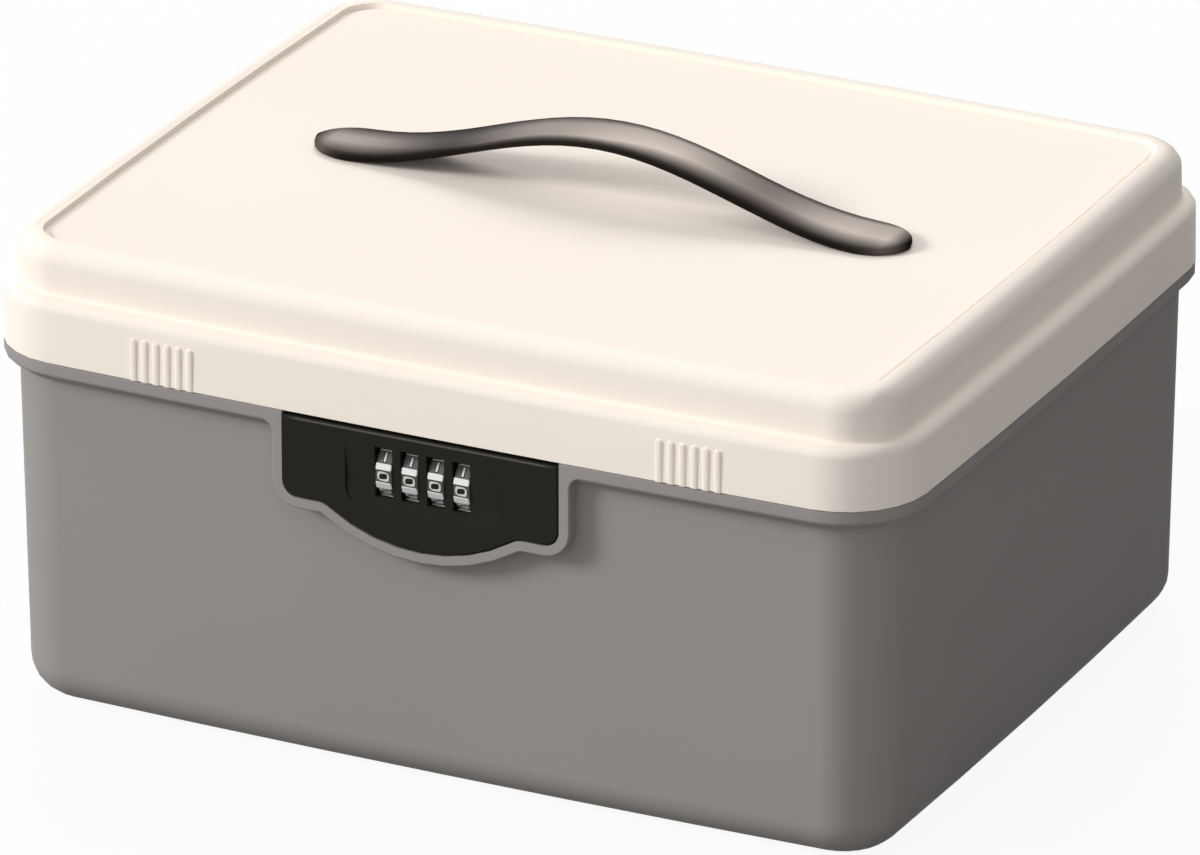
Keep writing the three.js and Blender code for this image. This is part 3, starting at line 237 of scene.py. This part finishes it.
# The studio is an even white room with three lamps: a low one at the left in
# front, a broad high one behind the box and a very soft one for the front.
room_light = 0.24
room_white = 1.0
world = bpy.data.worlds.new("studio")
world.use_nodes = True
bpy.context.scene.world = world
room = Nodes(world.node_tree)
room_level = room.node(
    "ShaderNodeMapRange", {}, {"Value": room.looked_at(), "To Min": room_light, "To Max": room_white},
)
room_sky = room.tree.nodes["Background"]
room.feed(room_sky.inputs["Color"], (1, 1, 1, 1))
room.feed(room_sky.inputs["Strength"], room_level)


def lamp(name, comes_from, power, spread):
    """A far lamp, given by where it stands, its power and its angle in degrees."""
    light = bpy.data.lights.new(name, "SUN")
    light.energy = power
    light.angle = math.radians(spread)
    holder = bpy.data.objects.new(name, light)
    holder.rotation_euler = Vector(comes_from).to_track_quat("Z", "Y").to_euler()
    bpy.context.scene.collection.objects.link(holder)


lamp("left_lamp", (-0.78, -0.46, 0.42), 2.1, 18)
lamp("back_lamp", (-0.2, 0.65, 0.73), 1.1, 38)
lamp("front_lamp", (-0.14, -0.85, 0.5), 1.17, 120)
bpy.context.scene.view_settings.view_transform = "Standard"


# The body is one moulding of grey plastic with a fine satin grain: walls, flange,
# foot ring, the raised frame of the lock and the hinge knuckles come from one mould.
weld_reach = 0.000002
sharp_corner = 40
even_weight = 50


def skin_of(node, name, body, angle=32, bevel=0.0, rework=None):
    """The moulding's own skin, welded and shaded smooth, with its edges eased when a bevel is given."""
    bpy.ops.object.select_all(action="DESELECT")
    piece = bpy.data.objects.new(name, frame["nodes"][node].data.copy())
    bpy.context.scene.collection.objects.link(piece)
    bpy.context.view_layer.objects.active = piece
    piece.select_set(True)
    bpy.ops.mesh.customdata_custom_splitnormals_clear()
    bpy.ops.object.mode_set(mode="EDIT")
    bpy.ops.mesh.select_all(action="SELECT")
    bpy.ops.mesh.remove_doubles(threshold=weld_reach)
    bpy.ops.object.mode_set(mode="OBJECT")
    if rework:
        rework(piece.data)
    if bevel:
        edge = piece.modifiers.new("eased_edges", "BEVEL")
        edge.width = bevel
        edge.segments = 2
        edge.limit_method = "ANGLE"
        edge.angle_limit = math.radians(sharp_corner)
        bpy.ops.object.modifier_apply(modifier=edge.name)
    bpy.ops.object.shade_smooth_by_angle(angle=math.radians(angle))
    evened = piece.modifiers.new("evened_shading", "WEIGHTED_NORMAL")
    evened.mode = "FACE_AREA_WITH_ANGLE"
    evened.weight = even_weight
    evened.keep_sharp = True
    bpy.ops.object.modifier_apply(modifier=evened.name)
    if body:
        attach(piece, body)
    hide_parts(node)
    return piece


def srgb(red, green, blue):
    """A colour as it looks on a screen, from 0 to 255, as the shader wants it."""
    def linear(value):
        share = value / 255
        return share / 12.92 if share <= 0.04045 else ((share + 0.055) / 1.055) ** 2.4
    return tuple(linear(value) for value in (red, green, blue))


body_finish = Finish("body_grey", srgb(156, 152, 149), 0.5, Specular_IOR_Level=0.01)
body_finish.mottled(0.09, srgb(153, 149, 146), srgb(158, 154, 151))
body_finish.satin(0.42, 0.16, 0.02)
body_finish.pebbled(0.0006, 0.12, 0.00005)
body_skin = skin_of("body_tub", "body_moulding", "box")
body_finish.on(body_skin)


# The lid is a cream moulding, smoother than the body, with a stepped rim whose
# outer ends carry a little painted shade, and two groups of raised finger ribs
# on the front of its skirt.
lid_finish = Finish("lid_cream", srgb(252, 243, 231), 0.4, Specular_IOR_Level=0.04)
rim_inner = 0.1425
rim_outer = 0.1445
rim_foot = 0.1495
rim_top = 0.1535
# Painted shade: the rim's outer ends at left and right are coloured a little greyer than the rest of the
# lid.
rim_painted_shade = lid_finish.eased(abs(lid_finish.axis(0)), rim_inner, rim_outer) \
    * lid_finish.eased(lid_finish.axis(2), rim_foot, rim_top)
lid_finish.set("Base Color", lid_finish.mixed(
    rim_painted_shade,
    lid_finish.mixed(lid_finish.grain(0.12), srgb(252, 241, 230), srgb(254, 245, 235)),
    srgb(243, 233, 223),
))
lid_finish.satin(0.36, 0.14, 0.03)
lid_finish.pebbled(0.0007, 0.08, 0.00004)
skirt_middle = -0.1301675
skirt_bow = 0.0022
skirt_half_length = 0.155
rib_share = 0.6


def softened_ribs(mesh):
    """The finger ribs stand a little lower on the skirt, as their faint shadows show."""
    for vertex in mesh.vertices:
        skirt = skirt_middle + skirt_bow * (vertex.co.x / skirt_half_length) ** 2
        if vertex.co.y < skirt:
            vertex.co.y = skirt + (vertex.co.y - skirt) * rib_share


lid_skin = skin_of("lid_shell", "lid_moulding", "lid", rework=softened_ribs)
lid_finish.on(lid_skin)


# The handle is a strap of dark plastic with a satin metallic coat. Its colour holds painted light:
# a painted sheen along its crown, painted shade on its slopes and left half, and near-black painted
# reflections at its rims and tips. Screws hold it from inside.
strap_low, strap_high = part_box("handle_strap")
strap_middle = (strap_low + strap_high) / 2
strap_half_length = 0.1019
strap_end = 0.006
strap_half_widths = (0.0105, 0.0117)
strap_widening_shares = (0.5, 0.84)
strap_slope = 0.053
strap_slope_reach = 0.034
arch_middle = -0.02
arch_reach = (0.05, 0.015)
left_half_from = 0.02
near_edge, near_pad, near_arch, near_turn = 1.01, 0.28, 0.4, 0.34
far_edge, far_pad, far_left, far_turn = 1.0, 0.6, 0.5, 0.5
slope_dark, left_slope_dark, left_dark, mottle_dark = 0.68, 0.12, 0.14, 0.06
crown_metal = 0.6
handle_finish = Finish("handle_gunmetal", srgb(112, 104, 100), 0.38, 0.5, Specular_IOR_Level=0.0)
strap_x = handle_finish.axis(0) - strap_middle.x
strap_y = handle_finish.axis(1) - strap_middle.y
strap_along = abs(strap_x)
strap_grown = handle_finish.between(
    strap_along, *(strap_half_length * share for share in strap_widening_shares),
)
strap_side = strap_y / (strap_half_widths[0] + strap_grown * (strap_half_widths[1] - strap_half_widths[0]))
# Painted light: these masks paint the crown paler as a sheen, the slopes and the left half darker as
# shade, and the rims and tips near black as dark reflections.
strap_left = handle_finish.eased(strap_x, left_half_from, -left_half_from)
strap_arch = handle_finish.eased(abs(strap_x - arch_middle), *arch_reach)
strap_sloped = handle_finish.eased(abs(strap_along - strap_slope), strap_slope_reach, 0)
strap_turned = strap_sloped * strap_left
strap_near = handle_finish.between(
    0 - strap_side, near_edge, near_pad + strap_arch * near_arch + strap_turned * near_turn,
)
strap_far = handle_finish.between(
    strap_side, far_edge, far_pad - strap_left * far_left - strap_turned * far_turn,
)
strap_tip = handle_finish.between(strap_along, strap_half_length, strap_half_length - strap_end)
# The painted sheen fades into the dark painted rims at the near and far edges and at the tips.
strap_painted_sheen = strap_near * strap_far * strap_tip
strap_painted_shade = strap_sloped * (slope_dark + strap_left * left_slope_dark) + strap_left * left_dark
strap_painted_top = handle_finish.mixed(
    strap_painted_shade + handle_finish.grain(0.012) * mottle_dark, srgb(151, 142, 134), srgb(54, 50, 46),
)
handle_finish.set("Base Color", handle_finish.mixed(strap_painted_sheen, srgb(26, 23, 20), strap_painted_top))
handle_finish.set("Metallic", strap_painted_sheen * crown_metal)
handle_finish.satin(0.36, 0.1, 0.01)
handle_skin = skin_of("handle_strap", "handle_moulding", "lid", angle=50)
handle_finish.on(handle_skin)


# The lock's face plate is a black moulding with a shallow dish round its windows.
# It is fixed from behind by four screws; a thin painted highlight runs just below its top edge.
plate_low, plate_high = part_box("lock_face_plate")
plate_middle = (plate_low + plate_high) / 2
plate_eased = 0.00025
highlight_foot = (0.001, 0.0008)
highlight_head = (0.0002, 0.0005)
highlight_ends = (0.0015, 0.0055)
plate_finish = Finish("lock_black", srgb(30, 29, 27), 0.45, Specular_IOR_Level=0.1)
# Painted highlight: a thin paler band a little below the top edge, fading out towards the plate's ends.
plate_from_top = plate_high.z - plate_finish.axis(2)
plate_from_end = plate_high.x - plate_middle.x - abs(plate_finish.axis(0) - plate_middle.x)
plate_painted_highlight = plate_finish.between(plate_from_top, *highlight_foot) \
    * plate_finish.between(plate_from_top, *highlight_head) * plate_finish.between(plate_from_end, *highlight_ends)
plate_finish.set("Base Color", plate_finish.mixed(
    plate_painted_highlight,
    plate_finish.mixed(plate_finish.grain(0.01), srgb(26, 25, 20), srgb(32, 31, 26)),
    srgb(88, 83, 76),
))
plate_finish.satin(0.42, 0.12, 0.004)
plate_finish.pebbled(0.0004, 0.1, 0.00003)
plate_skin = skin_of("lock_face_plate", "lock_plate_moulding", "box", bevel=plate_eased)
plate_finish.on(plate_skin)


# Each number wheel carries ten dark flats between plated ridges. Its ridges are
# bright; the flats are filled with dark grey lacquer.
wheel_centres = [
    Vector(joint["pos_m"]) for joint in frame["joints"] if joint["name"].startswith("dial_")
]
wheel_flat = 0.00965
ridge_foot = 0.00021
ridge_crown = 0.00025
brushed_lines = 2400
flat_roughness = 0.32
ridge_roughness = 0.46
dial_finish = Finish("dial_chrome", (0.5, 0.5, 0.49), 0.2, 0.3, Specular_IOR_Level=0.2)
dial_y = dial_finish.axis(1) - wheel_centres[0].y
dial_z = dial_finish.axis(2) - wheel_centres[0].z
dial_reach = dial_finish.math("SQRT", dial_y * dial_y + dial_z * dial_z, 0)
dial_ridge = dial_finish.between(dial_reach, wheel_flat + ridge_foot, wheel_flat + ridge_crown)
dial_brushed = dial_finish.node(
    "ShaderNodeTexNoise", {"noise_dimensions": "1D"},
    {"W": dial_finish.axis(0), "Scale": brushed_lines, "Detail": 2},
)
dial_lacquer = dial_finish.mixed(dial_brushed, srgb(66, 65, 63), srgb(112, 111, 108))
dial_finish.set("Base Color", dial_finish.mixed(dial_ridge, dial_lacquer, srgb(184, 184, 183)))
dial_finish.set("Metallic", dial_ridge)
dial_finish.set("Roughness", flat_roughness + dial_ridge * (ridge_roughness - flat_roughness))
for place in range(1, len(wheel_centres) + 1):
    dial_finish.on(skin_of(
        f"dial_wheel_{place}", f"number_wheel_{place}", f"dial_{place}", angle=20,
    ))


# The digits 0 to 9 stand slightly proud of the flats in pale silver, each in a
# thin black surround. All the digits of a wheel are one piece that turns with it,
# and so are their surrounds.
digit_finish = Finish("digit_silver", srgb(206, 205, 201), 0.35, 0.2)
digit_finish.satin(0.32, 0.1, 0.001)
surround_finish = Finish("digit_black", srgb(20, 20, 19), 0.5, Specular_IOR_Level=0.15)
surround_finish.satin(0.45, 0.1, 0.001)
digit_height = 0.00283
digit_widened = 0.001
slim_figure = 1
digit_hollow_share = 0.122
digit_reach = 0.0023
digit_turn = math.tau / 10
digit_steps = 6
capital_share = 0.7
digit_grown = 0.00012
digit_proud = 0.0001
surround_grown = 0.00036
surround_proud = 0.00004


def digits(grown, proud, filled, finish):
    """The mesh of ten digits round a wheel's axle, each set on its own flat."""
    bpy.ops.object.select_all(action="DESELECT")
    glyph_size = digit_height / capital_share
    glyphs = []
    for figure in range(10):
        bpy.ops.object.text_add(location=(0, 0, 0))
        glyph = bpy.context.object
        glyph.data.body = str(figure)
        glyph.data.size = glyph_size
        glyph.data.align_x = "CENTER"
        glyph.data.align_y = "CENTER"
        bpy.ops.object.convert(target="CURVE")
        glyph = bpy.context.object
        points = [point for spline in glyph.data.splines for point in spline.bezier_points]
        widened = [] if figure == slim_figure else points
        for point in widened:
            for spot in (point.handle_left, point.co, point.handle_right):
                share = min(abs(spot.x) / (digit_hollow_share * glyph_size), 1)
                spot.x += math.copysign(share * digit_widened, spot.x)
        spots = [[point.co[axis] for point in points] for axis in (0, 1)]
        middle = Vector([(min(values) + max(values)) / 2 for values in spots] + [0])
        holes = list(glyph.data.splines)[1:] if filled else []
        for hole in holes:
            glyph.data.splines.remove(hole)
        glyph.data.offset = grown
        glyph.data.extrude = proud
        glyph.data.resolution_u = digit_steps
        bpy.ops.object.convert(target="MESH")
        glyph = bpy.context.object
        for vertex in glyph.data.vertices:
            vertex.co.x = middle.x + max(-digit_reach, min(digit_reach, vertex.co.x - middle.x))
        glyph.matrix_world = (
            Matrix.Rotation(-figure * digit_turn, 4, "X")
            @ Matrix.Translation((0, -wheel_flat, 0))
            @ Matrix.Rotation(math.pi / 2, 4, "X")
            @ Matrix.Translation(-middle)
        )
        glyphs.append(glyph)
    for glyph in glyphs:
        glyph.select_set(True)
    bpy.context.view_layer.objects.active = glyphs[0]
    bpy.ops.object.join()
    bpy.ops.object.transform_apply(location=True, rotation=True, scale=True)
    model = bpy.context.object
    finish.on(model)
    mesh = model.data
    bpy.data.objects.remove(model)
    return mesh


surround_mesh = digits(surround_grown, surround_proud, True, surround_finish)
digit_mesh = digits(digit_grown, digit_proud, False, digit_finish)
for place, centre in enumerate(wheel_centres, 1):
    for name, mesh in (("digit_surrounds", surround_mesh), ("digits", digit_mesh)):
        piece = bpy.data.objects.new(f"{name}_{place}", mesh.copy())
        piece.data.transform(Matrix.Translation(centre))
        bpy.context.scene.collection.objects.link(piece)
        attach(piece, f"dial_{place}")


# The works behind the plate sit in a moulded case. Its code sleeves are turned brass;
# the screws, shaft, lever, comb and bolt are zinc plated steel, and so are the hinge
# pins and the lid's catch, washers and screws.
steel_finish = Finish("zinc_plated_steel", (0.55, 0.56, 0.56), 0.32, 1.0)
steel_finish.mottled(0.004, (0.5, 0.51, 0.52), (0.6, 0.6, 0.59))
steel_finish.satin(0.26, 0.16, 0.0015)
brass_finish = Finish("turned_brass", (0.6, 0.43, 0.17), 0.28, 1.0)
brass_finish.mottled(0.003, (0.55, 0.39, 0.15), (0.64, 0.47, 0.2))
brass_finish.satin(0.22, 0.14, 0.001)
case_finish = Finish("case_black", srgb(45, 44, 42), 0.6, Specular_IOR_Level=0.3)
case_finish.mottled(0.012, srgb(41, 40, 38), srgb(50, 49, 47))
case_finish.pebbled(0.0005, 0.15, 0.00004)
case_finish.on(frame["nodes"]["lock_case"])
for name, node in frame["nodes"].items():
    if name.startswith("code_sleeve"):
        brass_finish.on(node)
    elif name not in {"body_tub", "lid_shell", "handle_strap", "lock_face_plate", "lock_case"} \
            and not name.startswith("dial_wheel"):
        steel_finish.on(node)


# Two coil springs of zinc plated wire sit between the case and a moving piece. Each
# is a smooth copy of its coil left where it stands; its two ends are found but not used.
for name, body, axis in (("bolt_spring", "bolt", 1), ("shaft_spring", "code_shaft", 0)):
    coil = skin_of(name, f"{name}_coil", None, angle=60)
    fixed_end, moving_end = Vector(), Vector()
    fixed_end[axis] = min(corner[axis] for corner in coil.bound_box)
    moving_end[axis] = max(corner[axis] for corner in coil.bound_box)
    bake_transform(coil)
    steel_finish.on(coil)
